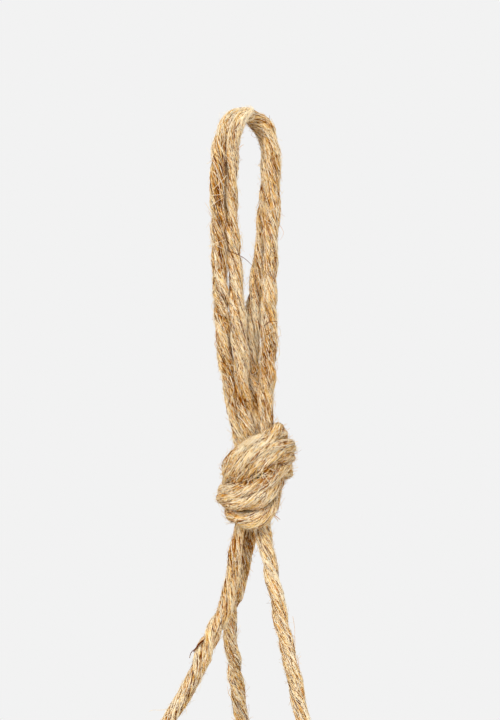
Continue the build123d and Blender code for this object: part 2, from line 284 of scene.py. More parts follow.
# Kinds of fibre on a rope: length, lift at the tip and radius in mm, rings of a tube, mean and spread of
# tone, seat as shares of the ply's radius, mean and spread of slant; one that arches lifts in its middle
LYING = {
    "lengths": (6.0, 22.0), "lift": 0.12, "thick": 0.16, "rings": 6, "tone": (2.4, 2.8),
    "seat": (0.98, 1.07), "slant": (0.30, 0.16),
}
CREASE = {
    "lengths": (5.0, 16.0), "lift": 0.0, "thick": 0.19, "rings": 5, "tone": (-2.3, 0.7),
    "seat": (0.97, 1.03), "slant": (0.30, 0.12),
}
NAP = {
    "lengths": (2.5, 8.0), "lift": 1.1, "thick": 0.1, "rings": 4, "tone": (1.0, 1.0),
    "seat": (0.98, 1.05), "slant": (0.32, 0.5),
}
TANGLE = {
    "lengths": (5.0, 14.0), "lift": 0.8, "thick": 0.1, "rings": 7, "tone": (1.6, 1.2),
    "seat": (1.0, 1.08), "slant": (0.2, 0.8), "arch": True,
}
FRAY = {
    "lengths": (4.0, 9.0), "lift": 1.6, "thick": 0.1, "rings": 6, "tone": (0.2, 1.3),
    "seat": (0.98, 1.07), "slant": (0.32, 0.4),
}

# Fibres on each kind of rope: fibres per mm of rope, and their kind; the frayed ends are the last rings
LOOP_COVER = ((7.0, LYING), (2.7, CREASE), (6.6, NAP))
LOOP_TANGLE = ((1.2, TANGLE),)
NECK_TANGLE = ((2.8, TANGLE), (0.6, CREASE))
TOP_KNOT_COVER = ((14.0, LYING), (4.0, CREASE), (13.0, NAP))
LEG_COVER = ((7.0, LYING), (2.5, CREASE), (7.0, NAP))
NET_COVER = ((2.0, LYING), (0.7, CREASE), (1.8, NAP))
WOUND_COVER = ((2.6, LYING), (0.9, CREASE), (2.2, NAP))
TASSEL_COVER = ((1.3, LYING), (0.4, CREASE), (1.2, NAP))
TASSEL_FRAY = ((12.0, FRAY),)
FRAYED_RINGS = 12

# How fibres lie on a ply: reach to each side in radians, sway round it, most lift, drift of a lifted tip,
# range of widths and taper
FIBRE_REACH = 1.9
FIBRE_SWAY = 0.35
FIBRE_LIFT_MOST = 2.2
FIBRE_DRIFT = 0.6
FIBRE_WIDTHS = (0.5, 1.4)
FIBRE_TAPER = 0.55

# Unevenness of a rope: size of a wander, and its reach along the rope in metres
LAY_WANDER = (0.3, 0.05)
PLY_WANDER = (0.15, 0.03)
GIRTH_WANDERS = ((0.06, 0.025), (0.035, 0.007))
RIDGE_WANDER = (0.35, 0.012)
TONE_WANDER = (0.5, 0.04)
TONE_SPREAD = 0.4

# Fibre ridges on a ply: count round it and height as a share of its radius
RIDGES = ((3, 0.05), (5, 0.05), (8, 0.05))

# Fineness of the ropes that the photograph shows: step along them, sides of a ply, and of a knot's ply
FINE_STEP = 0.75 * MM
FINE_SIDES = 20
KNOT_SIDES = 22

# Fineness of the pot: step along its outline in mm, and sides
POT_STEP = 1.3
POT_SIDES = 128

# Painted shade in the grooves between plies: shares of the rope's radius where one starts and is deepest,
# their shift of tone, and the angles from a ply's outward side where its fibres start to darken and are
# darkest
PLY_GAP_PAINTED_SHADE = (0.88, 0.68, -2.4)
PLY_GAP_SIDE_PAINTED_SHADE = (1.0, 1.7)

# Fuzz across the deep crease of the top knot: its line, count, half lengths and thickness in mm, tone
CREASE_LINE_PX = [
    (235, 482, -11), (247, 481, -15.5), (260, 476, -16.5), (272, 468.5, -14.5), (279, 463, -11),
]
CREASE_FUZZ = {"count": 80, "halves": (1.6, 4.2), "thick": 0.3, "tone": (0.1, 1.8)}

# Single fibres that stand out in the photograph: pixels with depth in mm, thickness in mm, tone
LOOSE_FIBRES_PX = [
    ([(216, 628, -8), (206, 637, -10), (199, 641, -11), (196, 647, -11), (191, 650, -10), (190, 656, -10)],
     0.75, -4.0),
    ([(203, 639, -9), (198, 643, -10), (194, 650, -11)], 0.9, -4.0),
    ([(213, 632, -8), (205, 638, -9), (201, 646, -10), (194, 648, -10)], 0.5, -3.4),
    ([(264, 326, -6.5), (269, 322, -8.2), (273, 321, -8.2), (277, 322, -7)], 0.5, -3.2),
    ([(226, 250, -4), (238, 255, -6), (247, 260, -6), (254, 268, -4)], 0.40, -2.4),
    ([(238, 415, -7.6), (246, 424, -8.6), (254, 433, -8.6), (258, 437, -8)], 0.36, 3.0),
    ([(213, 172, -6.4), (219, 179, -7.4), (225, 187, -7)], 0.26, 2.6),
    ([(227, 176, -6), (220, 184, -7.4), (213, 190, -6.4)], 0.26, 2.6),
    ([(210, 207, -5.4), (217, 202, -7.4), (224, 198, -6.4)], 0.28, 2.8),
    ([(211, 196, -5.4), (218, 196, -7.4), (226, 194, -6.4)], 0.24, 2.4),
    ([(209, 246, -4.4), (217, 243, -6.8), (226, 240, -6)], 0.26, 2.6),
    ([(213, 244, -6), (220, 248, -6.6), (228, 251, -5)], 0.24, 2.4),
    ([(220, 286, -5), (226, 292, -5.6), (230, 300, -5)], 0.26, 2.6),
    ([(279, 224, 0), (284, 231, -1), (283, 236, -1), (280, 240, 0)], 0.16, -0.6),
    ([(292, 612, -27), (294, 622, -28), (294, 632, -28), (291, 640, -28)], 0.16, -0.4),
    ([(274, 446, -17), (284, 444.6, -14), (294, 444, -8)], 0.3, 2.8),
    ([(264, 474, -17), (271, 484, -16.6), (279, 497, -11)], 0.28, 2.8),
    ([(273, 514, -6), (277, 516, -6), (280, 519, -6)], 0.5, -0.6),
    ([(274, 516, -5), (277, 518, -5), (278, 521, -5)], 0.4, 0.4),
    ([(288, 444, -4), (294, 442, -5), (298, 441, -5)], 0.3, 0.6),
    ([(289, 448, -4), (295, 448, -5), (299, 447, -5)], 0.3, 1.4),
    ([(288, 452, -4), (294, 453, -4), (298, 454, -4)], 0.3, -0.4),
    ([(168, 706, -14), (160, 707, -15), (154, 706, -15), (150, 708, -15)], 0.14, 0.4),
    ([(184, 700, -14), (188, 706, -15), (187, 711, -15)], 0.14, 0.4),
]
HAIR_STEP = 0.8 * MM
HAIR_TAPER = 0.45


def linear(hex_colour):
    """sRGB hex colour to linear red, green, blue."""
    raw = [int(hex_colour[i:i + 2], 16) / 255 for i in (1, 3, 5)]
    return [c / 12.92 if c <= 0.04045 else ((c + 0.055) / 1.055) ** 2.4 for c in raw]


def around(angle, radius, z):
    """Point in mm at an angle in degrees and a distance from the pot's axis."""
    turn = math.radians(angle)
    return (POT_AXIS_X + radius * math.cos(turn), radius * math.sin(turn), z)


def beside(angle, shift, radius, z):
    """Point in mm round the pot's axis, shifted sideways along the ring."""
    turn = math.radians(angle)
    x, y, z = around(angle, radius, z)
    return (x - shift * math.sin(turn), y + shift * math.cos(turn), z)


def from_picture(points):
    """Picture pixels with a depth in mm to millimetres in the object's frame."""
    grid = np.array(points, float)
    return np.column_stack([
        (grid[:, 0] - HOOK_PX[0]) * PIXEL_MM, grid[:, 2], (HOOK_PX[1] - grid[:, 1]) * PIXEL_MM,
    ])


def route_line(points, step):
    """Points in metres at an even step along the NURBS spline that a route's points in mm control."""
    control = np.array(points, float) * MM
    curve = bpy.data.curves.new("route", "CURVE")
    curve.dimensions = "3D"
    curve.resolution_u = 32
    spline = curve.splines.new("NURBS")
    spline.points.add(len(control) - 1)
    spline.points.foreach_set("co", np.column_stack([control, np.ones(len(control))]).ravel())
    spline.order_u = 3
    spline.use_endpoint_u = True
    holder = bpy.data.objects.new("route", curve)
    mesh = bpy.data.meshes.new_from_object(holder)
    flat = np.empty(len(mesh.vertices) * 3)
    mesh.vertices.foreach_get("co", flat)
    line = flat.reshape(-1, 3)
    bpy.data.meshes.remove(mesh)
    bpy.data.objects.remove(holder)
    bpy.data.curves.remove(curve)
    run = arc_length(line)
    even = np.linspace(0, run[-1], max(int(round(run[-1] / step)), 8) + 1)
    return np.column_stack([np.interp(even, run, line[:, i]) for i in range(3)])


def arc_length(line):
    """Distance along a line of points, from its start."""
    return np.concatenate([[0.0], np.cumsum(np.linalg.norm(np.diff(line, axis=0), axis=1))])


def unit(vectors):
    """Vectors made one long."""
    return vectors / np.linalg.norm(vectors, axis=-1, keepdims=True)


def side_frames(line):
    """Two side directions at each point that don't spin about the line.

    A first side is square to the tangent and to the direction that the tangents lie least along. Its spin
    about the line is summed and taken out again.
    """
    tangent = unit(np.gradient(line, axis=0))
    least = np.linalg.svd(tangent, full_matrices=False)[2][-1]
    side = unit(np.cross(tangent, least))
    other = np.cross(tangent, side)
    spin = np.cumsum(np.einsum("ij,ij->i", np.gradient(side, axis=0), other))[:, None]
    return np.cos(spin) * side - np.sin(spin) * other, np.sin(spin) * side + np.cos(spin) * other


def wander(run, rng, size_and_reach, waves=6):
    """Smooth random wobble along a length: a sum of sines with wavelengths near a reach, times a size."""
    size, reach = size_and_reach
    rate = 2 * math.pi / (reach * rng.uniform(0.6, 1.9, waves))
    phase = rng.uniform(0, 2 * math.pi, waves)
    weight = rng.uniform(0.5, 1.0, waves)
    wobble = (np.sin(run[:, None] * rate + phase) * weight).sum(1) / np.sqrt((weight**2).sum() / 2)
    return size * wobble


def painted_light_and_shade_tone(points):
    """Painted shade and light at points in metres: each place's tone shift, fading with distance as a bell
    curve.
    """
    spots = np.array(PAINTED_LIGHT_AND_SHADE_PX)
    away = np.linalg.norm(points[..., None, :] / MM - from_picture(spots), axis=-1)
    return (spots[:, 4] * np.exp(-((away / spots[:, 3]) ** 2))).sum(-1)


def ply_tubes(line, rope, rng, around_count, thick=1.0, share=None, shade=0.0):
    """The plies of one rope, each a ridged tube winding round the rope's line, and the beds for its fibres.

    Ply centre = line + ring radius x (cos, sin of its turn), with one turn in a lay length. Ply surface =
    centre + ply radius x (1 + fibre ridges), where the ridges are cosines round the ply that slant along it.
    The tone wanders along a ply. Painted shade and painted light shift it at the listed places, and painted
    shade lowers it in the grooves, where the surface lies near the rope's line. A bed is a ply's centre
    line, its two side directions, its outward turn, its radius and its tone.
    """
    run = arc_length(line)
    side, other = side_frames(line)
    radius = thick * rope.diameter / 2 * np.ones(len(line))
    share = share or rope.ply_share
    ply_r, ring_r = radius * share, radius * (1.0 - share)
    mean_r = float(ply_r.mean())
    angle = np.linspace(0, 2 * math.pi, around_count, endpoint=False)
    lay_turn = rng.uniform(0, 2 * math.pi) - 2 * math.pi * run / rope.lay + wander(run, rng, LAY_WANDER)
    fibre_turn = run * math.tan(rope.fibre_angle) / mean_r
    ends = np.clip(np.minimum(np.arange(len(run)), np.arange(len(run))[::-1]) / 2, 0, 1)
    close = 0.35 + 0.65 * np.sqrt(1 - (1 - ends) ** 2)
    tubes, beds = [], []
    for ply in range(rope.plies):
        turn = lay_turn + 2 * math.pi * ply / rope.plies + wander(run, rng, PLY_WANDER)
        centre = line + ring_r[:, None] * (np.cos(turn)[:, None] * side + np.sin(turn)[:, None] * other)
        size = ply_r * (1 + wander(run, rng, GIRTH_WANDERS[0]) + wander(run, rng, GIRTH_WANDERS[1]))
        ridges = np.zeros((len(run), around_count))
        for count, height in RIDGES:
            phase = fibre_turn + wander(run, rng, RIDGE_WANDER) + rng.uniform(0, 6)
            ridges += height * np.cos(count * (angle + phase[:, None]))
        reach = (size * close)[:, None] * (1 + ridges)
        surface = (
            centre[:, None]
            + (reach * np.cos(angle))[..., None] * side[:, None]
            + (reach * np.sin(angle))[..., None] * other[:, None]
        )
        tone = (shade + rng.normal(0, TONE_SPREAD) + wander(run, rng, TONE_WANDER))[:, None]
        # Painted shade and painted light at the listed places
        tone = tone + painted_light_and_shade_tone(surface)
        # Painted shade in the grooves, where the surface lies near the rope's line
        depth = np.linalg.norm(surface - line[:, None], axis=2) / radius[:, None]
        tone += PLY_GAP_PAINTED_SHADE[2] * np.clip((PLY_GAP_PAINTED_SHADE[0] - depth) / (PLY_GAP_PAINTED_SHADE[0] - PLY_GAP_PAINTED_SHADE[1]), 0, 1)
        tubes.append((surface[None], run[None] + rng.uniform(0, 1), mean_r, tone[None]))
        beds.append((centre, side, other, turn, size * close, shade))
    return tubes, beds


def plain_tube(line, radius, tone, sides=5):
    """A round tube along a line, thinner towards its far end."""
    side, other = side_frames(line)
    angle = np.linspace(0, 2 * math.pi, sides, endpoint=False)
    reach = radius * np.linspace(1.0, HAIR_TAPER, len(line))[:, None, None]
    surface = line[:, None] + reach * (
        np.cos(angle)[None, :, None] * side[:, None] + np.sin(angle)[None, :, None] * other[:, None]
    )
    return surface[None], arc_length(line)[None], radius, np.full((1, len(line), 1), tone)


def fibre_tubes(bed, rng, count, kind, axis=None):
    """Loose fibres on a ply: thin three-sided tubes that lie on it or lift off it towards one end.

    A fibre starts on the outward side of the ply, runs along it and drifts round it with the twist. Its
    height over the surface grows with the square of the way along it, or with the sine where it arches. With
    an axis, x and y, only the fibres on the side of the ply that faces away from that upright axis are kept.
    """
    centre, side, other, outward, girth, shade = bed
    run = arc_length(centre)
    radius = float(girth.mean())
    tangent = unit(np.gradient(centre, axis=0))
    along = np.linspace(0, 1, kind["rings"])
    length = rng.uniform(*kind["lengths"], count)[:, None] * MM * rng.choice([-1, 1], count)[:, None]
    start = rng.uniform(run[0], run[-1], count)
    at = np.clip(start[:, None] + length * along, run[0], run[-1])
    slant = rng.normal(*kind["slant"], count)[:, None]
    aside = rng.uniform(-FIBRE_REACH, FIBRE_REACH, count)
    turn = (np.interp(start, run, outward) + aside)[:, None]
    sway = rng.normal(0, FIBRE_SWAY, count)[:, None]
    turn = turn - slant * length * along / radius + sway * np.sin(math.pi * along)
    form = np.sin(math.pi * along) if kind.get("arch") else along**2
    rise = kind["lift"] * MM * np.minimum(rng.exponential(1.0, count), FIBRE_LIFT_MOST)[:, None] * form
    height = np.interp(at, run, girth) * rng.uniform(*kind["seat"], count)[:, None] + rise

    def carry(field):
        """A field of the bed at the points of the fibres."""
        return np.stack([np.interp(at, run, field[:, i]) for i in range(3)], -1)

    middle = carry(centre) + height[..., None] * (
        np.cos(turn)[..., None] * carry(side) + np.sin(turn)[..., None] * carry(other)
    )
    middle += (rise * rng.normal(0, FIBRE_DRIFT, count)[:, None])[..., None] * carry(tangent)
    forward = unit(np.gradient(middle, axis=1) + 1e-12)
    across = unit(np.cross(forward, carry(tangent) + 0.3 * carry(side) + 1e-9))
    up = np.cross(forward, across)
    width = kind["thick"] * MM * rng.uniform(*FIBRE_WIDTHS, count)[:, None] * (1 - FIBRE_TAPER * along)
    corner = 2 * math.pi * np.arange(3) / 3
    rings = (
        middle[:, :, None]
        + (width[..., None] * np.cos(corner))[..., None] * across[:, :, None]
        + (width[..., None] * np.sin(corner))[..., None] * up[:, :, None]
    )
    # Painted shade and painted light at the listed places
    tone = rng.normal(*kind["tone"], count) + shade + 0.8 * painted_light_and_shade_tone(middle[:, kind["rings"] // 2])
    # Painted shade on fibres that lie towards a groove between plies
    shaded_side = (np.abs(aside) - PLY_GAP_SIDE_PAINTED_SHADE[0]) / (PLY_GAP_SIDE_PAINTED_SHADE[1] - PLY_GAP_SIDE_PAINTED_SHADE[0])
    tone += 0.6 * PLY_GAP_PAINTED_SHADE[2] * np.clip(shaded_side, 0, 1)
    tone = np.repeat(tone[:, None, None], kind["rings"], 1)
    way = np.abs(length) * along
    if axis is not None:
        from_axis = np.linalg.norm(middle[:, 0, :2] - axis, axis=1)
        far = from_axis > np.linalg.norm(carry(centre)[:, 0, :2] - axis, axis=1)
        rings, way, tone = rings[far], way[far], tone[far]
    return rings, way, kind["thick"] * MM, tone


def stretches(beds, low, high):
    """The unbroken parts of some beds between two heights in mm."""
    parts = []
    for bed in beds:
        level = bed[0][:, 2] / MM
        inside = np.flatnonzero((level > low) & (level < high))
        for run in np.split(inside, np.flatnonzero(np.diff(inside) > 1) + 1):
            parts.append(tuple(field[run] for field in bed[:5]) + bed[5:])
    return parts


def tube_mesh(name, batches):
    """One mesh of closed tubes, with a UV map in millimetres along and round each tube and its tone.

    A batch is some tubes of one shape: points (tube, ring, corner), way along (tube, ring), radius, and tone
    (tube, ring, corner or one for all corners).
    """
    points, quads, caps, uvs, cap_uvs, tones = [], [], [], [], [], []
    first = 0
    for surface, run, radius, tone in batches:
        tubes, rings, count = surface.shape[:3]
        ends = surface[:, [0, -1]].mean(2)
        points.append(np.concatenate([surface.reshape(tubes, -1, 3), ends], 1).reshape(-1, 3))
        tone = np.broadcast_to(tone, surface.shape[:3])
        tones.append(np.concatenate([tone.reshape(tubes, -1), tone[:, [0, -1]].mean(2)], 1).ravel())
        size = rings * count + 2
        offset = first + size * np.arange(tubes)[:, None, None]
        ring, col = np.arange(rings - 1)[:, None] * count, np.arange(count)[None]
        nxt = (col + 1) % count
        quad = np.stack([ring + col, ring + nxt, ring + count + nxt, ring + count + col], -1).reshape(-1, 4)
        quads.append((quad[None] + offset).reshape(-1, 4))
        low, high = run[:, :-1, None] + 0 * col, run[:, 1:, None] + 0 * col
        left = 2 * math.pi * radius * col / count + 0 * low
        right = left + 2 * math.pi * radius / count
        uvs.append(np.stack([low, left, low, right, high, right, high, left], -1).reshape(-1, 2))
        c, n, tail = col[0], nxt[0], (rings - 1) * count
        cap = np.concatenate([
            np.stack([n, c, np.full(count, size - 2)], -1),
            np.stack([tail + c, tail + n, np.full(count, size - 1)], -1),
        ])
        caps.append((cap[None] + offset).reshape(-1, 3))
        cap_uvs.append(np.repeat(np.repeat(run[:, [0, -1]], 3 * count, 1).reshape(-1, 1), 2, 1))
        first += tubes * size
    points, quads, caps = np.concatenate(points), np.concatenate(quads), np.concatenate(caps)
    mesh = bpy.data.meshes.new(name)
    mesh.vertices.add(len(points))
    mesh.vertices.foreach_set("co", points.astype(np.float32).ravel())
    loops = np.concatenate([quads.ravel(), caps.ravel()]).astype(np.int32)
    sizes = np.concatenate([np.full(len(quads), 4), np.full(len(caps), 3)]).astype(np.int32)
    mesh.loops.add(len(loops))
    mesh.loops.foreach_set("vertex_index", loops)
    mesh.polygons.add(len(sizes))
    mesh.polygons.foreach_set("loop_start", (np.cumsum(sizes) - sizes).astype(np.int32))
    mesh.polygons.foreach_set("use_smooth", np.ones(len(sizes), bool))
    layer = mesh.uv_layers.new(name="fibre")
    layer.data.foreach_set("uv", (np.concatenate(uvs + cap_uvs) / MM).astype(np.float32).ravel())
    tint = mesh.attributes.new("tone", "FLOAT", "POINT")
    tint.data.foreach_set("value", np.concatenate(tones).astype(np.float32))
    mesh.update()
    mesh.validate()
    return mesh


def add_piece(name, mesh, material, body):
    """Links a finished mesh at the origin, dresses it and lets it ride on a body."""
    piece = bpy.data.objects.new(name, mesh)
    bpy.context.scene.collection.objects.link(piece)
    mesh.materials.append(material)
    if body:
        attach(piece, body)
    return piece


def add_rope(
    name, points, body, rope, seed, around_count=16, step=1.0 * MM, thick=1.0, swells=(), share=None,
    shade=0.0,
):
    """A rope piece along a route. Returns the piece, the line that it follows and the beds for its fibres.

    A swell is a place in mm, a spread in mm and a share: the rope is that much thicker round that place.
    """
    rng = np.random.default_rng(seed)
    line = route_line(points, step)
    for place, spread, extra in swells:
        away = np.linalg.norm(line / MM - np.array(place), axis=1)
        thick = thick * (1 + extra * np.exp(-((away / spread) ** 2)))
    tubes, beds = ply_tubes(line, rope, rng, around_count, thick, share, shade)
    piece = add_piece(name, tube_mesh(name, tubes), jute_material(rope), body)
    return piece, line, beds


def add_fibres(name, beds, body, rope, seed, kinds, axis=None):
    """Loose fibres on the plies of some ropes, as one piece.

    Kinds are pairs: fibres per mm of rope, and a kind.
    """
    rng = np.random.default_rng(seed)
    batches = []
    for bed in beds:
        reach = arc_length(bed[0])[-1] / MM / rope.plies
        batches += [fibre_tubes(bed, rng, int(reach * per_mm), kind, axis) for per_mm, kind in kinds]
    return add_piece(name, tube_mesh(name, batches), fibre_material(rope), body)


def bend_neck(piece):
    """Bakes a loop piece's placement into its mesh."""
    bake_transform(piece)


def coil(top, reach, height, turns, start):
    """Route in mm of a cord wound down round an upright axis: a left-handed helix with tucked-in ends."""
    count = COIL_POINTS * turns + 1
    turn = np.radians(start) - 2 * math.pi * np.linspace(0, turns, count)
    drop = np.linspace(ROPE_MM / 2, height - ROPE_MM / 2, count)
    tuck = np.ones(count)
    tuck[[0, -1]], tuck[[1, -2]] = COIL_TUCK
    tilt = COIL_TILT * np.cos(turn)
    return np.column_stack([
        top[0] + reach * tuck * np.cos(turn), top[1] + reach * tuck * np.sin(turn), top[2] - drop + tilt,
    ])


def turned_mesh(name, profile, axis_x, step, count):
    """A closed surface of revolution: an outline in mm turned about an upright axis.

    The outline is divided at an even step. Its radius carries faint throwing rings, 0.12 mm high and 5 mm
    apart, that drift a little round the pot.
    """
    loop = np.vstack([profile, profile[:1]])
    run = arc_length(loop)
    even = np.linspace(0, run[-1], int(run[-1] / step))[:-1]
    radius, z = np.interp(even, run, loop[:, 0])[:, None], np.interp(even, run, loop[:, 1])[:, None]
    angle = np.linspace(0, 2 * math.pi, count, endpoint=False)[None]
    rings = 0.12 * np.sin(2 * math.pi * z / 5.0 + 0.8 * np.sin(angle) + 0.5 * np.sin(2 * angle + z / 30))
    wall = np.clip((radius - 0.6 * POT_BASE_R) / 10.0, 0, 1)
    reach = radius + rings * wall
    points = np.stack([axis_x + reach * np.cos(angle), reach * np.sin(angle), z + 0 * angle], -1)
    ring, col = np.arange(len(even))[:, None], np.arange(count)[None]
    up, nxt = (ring + 1) % len(even), (col + 1) % count
    quads = np.stack([ring * count + col, ring * count + nxt, up * count + nxt, up * count + col], -1)
    mesh = bpy.data.meshes.new(name)
    mesh.from_pydata((points.reshape(-1, 3) * MM).tolist(), [], quads.reshape(-1, 4).tolist())
    mesh.polygons.foreach_set("use_smooth", np.ones(len(mesh.polygons), bool))
    return mesh


def node(tree, kind, links=(), **settings):
    """Adds one shader node: plain settings, inputs by name or number, and links from other sockets."""
    made = tree.nodes.new(kind)
    for key, value in settings.items():
        if key == "inputs":
            for socket, number in value.items():
                made.inputs[socket].default_value = number
        else:
            setattr(made, key, value)
    for socket, source in links:
        tree.links.new(source, made.inputs[socket])
    return made


def set_ramp(ramp, stops):
    """Gives a colour ramp its stops: place and linear colour."""
    elements = ramp.color_ramp.elements
    while len(elements) < len(stops):
        elements.new(0.5)
    for element, (place, colour) in zip(elements, stops):
        element.position = place
        element.color = (*colour, 1.0)


def new_material(name):
    """A new node material, with its tree and its main shader."""
    material = bpy.data.materials.new(name)
    material.use_nodes = True
    tree = material.node_tree
    return material, tree, tree.nodes["Principled BSDF"]


def jute_material(rope):
    """Jute rope: long dry bast fibres laid side by side, dull straw with brown streaks and dark gaps.

    Streaks, gaps and patches are noise stretched along the fibres; sizes are length and width in mm on the
    fibre map, which is turned by the angle of the fibres on a ply. Real fibres are finer than a pixel, so
    the streaks are drawn as wide as 0.3 mm.
    """
    name = "twisted_jute"
    if name in bpy.data.materials:
        return bpy.data.materials[name]
    material, tree, shader = new_material(name)
    place = node(tree, "ShaderNodeUVMap", uv_map="fibre")

    def grain(length, width, detail):
        """Noise of a length and a width on the fibre map."""
        turned = node(tree, "ShaderNodeMapping", [("Vector", place.outputs["UV"])], vector_type="TEXTURE",
                      inputs={"Scale": (length, width, 1.0), "Rotation": (0, 0, -rope.fibre_angle)})
        return node(tree, "ShaderNodeTexNoise", [("Vector", turned.outputs["Vector"])],
                    inputs={"Scale": 1.0, "Detail": detail, "Roughness": 0.62}).outputs["Fac"]

    streak, gap, patch = grain(5.0, 0.3, 3.0), grain(4.0, 0.5, 2.0), grain(26.0, 2.0, 2.0)
    # The tone holds random tone, and also painted shade in the grooves and painted light and shade at listed
    # places
    tone = node(tree, "ShaderNodeAttribute", attribute_name="tone")
    mixed = node(tree, "ShaderNodeMath", [(0, patch), (2, streak)], operation="MULTIPLY_ADD",
                 inputs={1: 0.22})
    toned = node(tree, "ShaderNodeMath", [(0, tone.outputs["Fac"]), (2, mixed.outputs[0])],
                 operation="MULTIPLY_ADD", inputs={1: 0.03})
    ramp = node(tree, "ShaderNodeValToRGB", [("Fac", toned.outputs[0])])
    set_ramp(ramp, [(0.41, rope.dark), (0.51, rope.brown), (0.60, rope.straw), (0.74, rope.pale)])
    crack = node(tree, "ShaderNodeMapRange", [("Value", gap)],
                 inputs={"From Min": 0.38, "From Max": 0.45})
    dress = node(tree, "ShaderNodeMix", [("Factor", crack.outputs[0]), ("B", ramp.outputs["Color"])],
                 data_type="RGBA", clamp_factor=True)
    dress.inputs["A"].default_value = (*rope.dark, 1.0)
    height = node(tree, "ShaderNodeMath", [(0, crack.outputs[0]), (2, streak)], operation="MULTIPLY_ADD",
                  inputs={1: 0.5})
    bump = node(tree, "ShaderNodeBump", [("Height", height.outputs[0])],
                inputs={"Strength": 1.0, "Distance": 0.4 * MM})
    tree.links.new(dress.outputs["Result"], shader.inputs["Base Color"])
    tree.links.new(bump.outputs["Normal"], shader.inputs["Normal"])
    shader.inputs["Roughness"].default_value = 0.8
    shader.inputs["Specular IOR Level"].default_value = 0.03
    return material


def fibre_material(rope):
    """Single jute fibres: pale and a little glossy, with some brown ones, by their tone."""
    name = "loose_jute_fibre"
    if name in bpy.data.materials:
        return bpy.data.materials[name]
    material, tree, shader = new_material(name)
    # The tone holds random tone, and also painted shade in the grooves and painted light and shade at listed
    # places
    tone = node(tree, "ShaderNodeAttribute", attribute_name="tone")
    share = node(tree, "ShaderNodeMapRange", [("Value", tone.outputs["Fac"])],
                 inputs={"From Min": -2.0, "From Max": 2.0})
    ramp = node(tree, "ShaderNodeValToRGB", [("Fac", share.outputs[0])])
    set_ramp(ramp, [(0.05, rope.dark), (0.3, rope.brown), (0.6, rope.straw), (0.9, rope.pale)])
    tree.links.new(ramp.outputs["Color"], shader.inputs["Base Color"])
    shader.inputs["Roughness"].default_value = 0.65
    shader.inputs["Specular IOR Level"].default_value = 0.05
    return material


def stoneware_material(pot):
    """Matt glazed stoneware: off-white with fine iron specks and faint throwing rings."""
    material, tree, shader = new_material("matt_stoneware")
    place = node(tree, "ShaderNodeTexCoord")
    specks = node(tree, "ShaderNodeTexVoronoi", [("Vector", place.outputs["Object"])],
                  inputs={"Scale": 1 / (4.5 * MM), "Randomness": 1.0})
    ramp = node(tree, "ShaderNodeValToRGB", [("Fac", specks.outputs["Distance"])])
    set_ramp(ramp, [(0.05, pot.speck), (0.09, pot.glaze)])
    cloud = node(tree, "ShaderNodeTexNoise", [("Vector", place.outputs["Object"])],
                 inputs={"Scale": 1 / (40 * MM), "Detail": 3.0})
    shade = node(tree, "ShaderNodeMix", [("Factor", cloud.outputs["Fac"]), ("A", ramp.outputs["Color"])],
                 data_type="RGBA", blend_type="MULTIPLY")
    shade.inputs["B"].default_value = (*linear("#f3f1ed"), 1.0)
    tree.links.new(shade.outputs["Result"], shader.inputs["Base Color"])
    grain = node(tree, "ShaderNodeTexNoise", [("Vector", place.outputs["Object"])],
                 inputs={"Scale": 1 / (1.2 * MM), "Detail": 4.0})
    bump = node(tree, "ShaderNodeBump", [("Height", grain.outputs["Fac"])],
                inputs={"Strength": 0.25, "Distance": 0.2 * MM})
    tree.links.new(bump.outputs["Normal"], shader.inputs["Normal"])
    shader.inputs["Roughness"].default_value = 0.6
    return material


class RopeSettings(bpy.types.PropertyGroup):
    """Sizes and colours of the jute rope."""

    diameter: FloatProperty(
        name="Rope diameter", description="Across the laid-up rope with its nap", default=6.85 * MM,
        unit="LENGTH")
    plies: IntProperty(name="Plies", description="Plies twisted into one rope", default=3, min=2)
    lay: FloatProperty(
        name="Lay length", description="Length of one full turn of a ply", default=58 * MM, unit="LENGTH")
    ply_share: FloatProperty(
        name="Ply share", description="Ply radius as a share of the rope radius", default=0.575,
        subtype="FACTOR")
    fibre_angle: FloatProperty(
        name="Fibre angle", description="Slant of the fibres on a ply", default=math.radians(13),
        subtype="ANGLE")
    dark: FloatVectorProperty(
        name="Crevice brown", description="Darkest fibres", default=linear("#6a3000"), subtype="COLOR")
    brown: FloatVectorProperty(
        name="Fibre brown", description="Brown fibres", default=linear("#c87a0c"), subtype="COLOR")
    straw: FloatVectorProperty(
        name="Straw", description="Main fibre colour", default=linear("#f2cc80"), subtype="COLOR")
    pale: FloatVectorProperty(
        name="Pale straw", description="Lightest fibres", default=linear("#fff0d2"), subtype="COLOR")


class PotSettings(bpy.types.PropertyGroup):
    """Colours of the pot."""

    glaze: FloatVectorProperty(
        name="Glaze", description="Matt off-white glaze", default=linear("#d9d2c5"), subtype="COLOR")
    speck: FloatVectorProperty(
        name="Specks", description="Iron specks in the glaze", default=linear("#8a7358"), subtype="COLOR")


class StageSettings(bpy.types.PropertyGroup):
    """Camera distance and the colour of the background."""

    distance: FloatProperty(
        name="Camera distance", description="From the lens to the hook point", default=1.5, unit="LENGTH")
    backdrop: FloatVectorProperty(
        name="Backdrop", description="Background seen by the camera", default=linear("#f2f2f2"),
        subtype="COLOR")
    floor: FloatVectorProperty(
        name="Floor", description="Plain pale floor", default=linear("#dfdfdf"), subtype="COLOR")


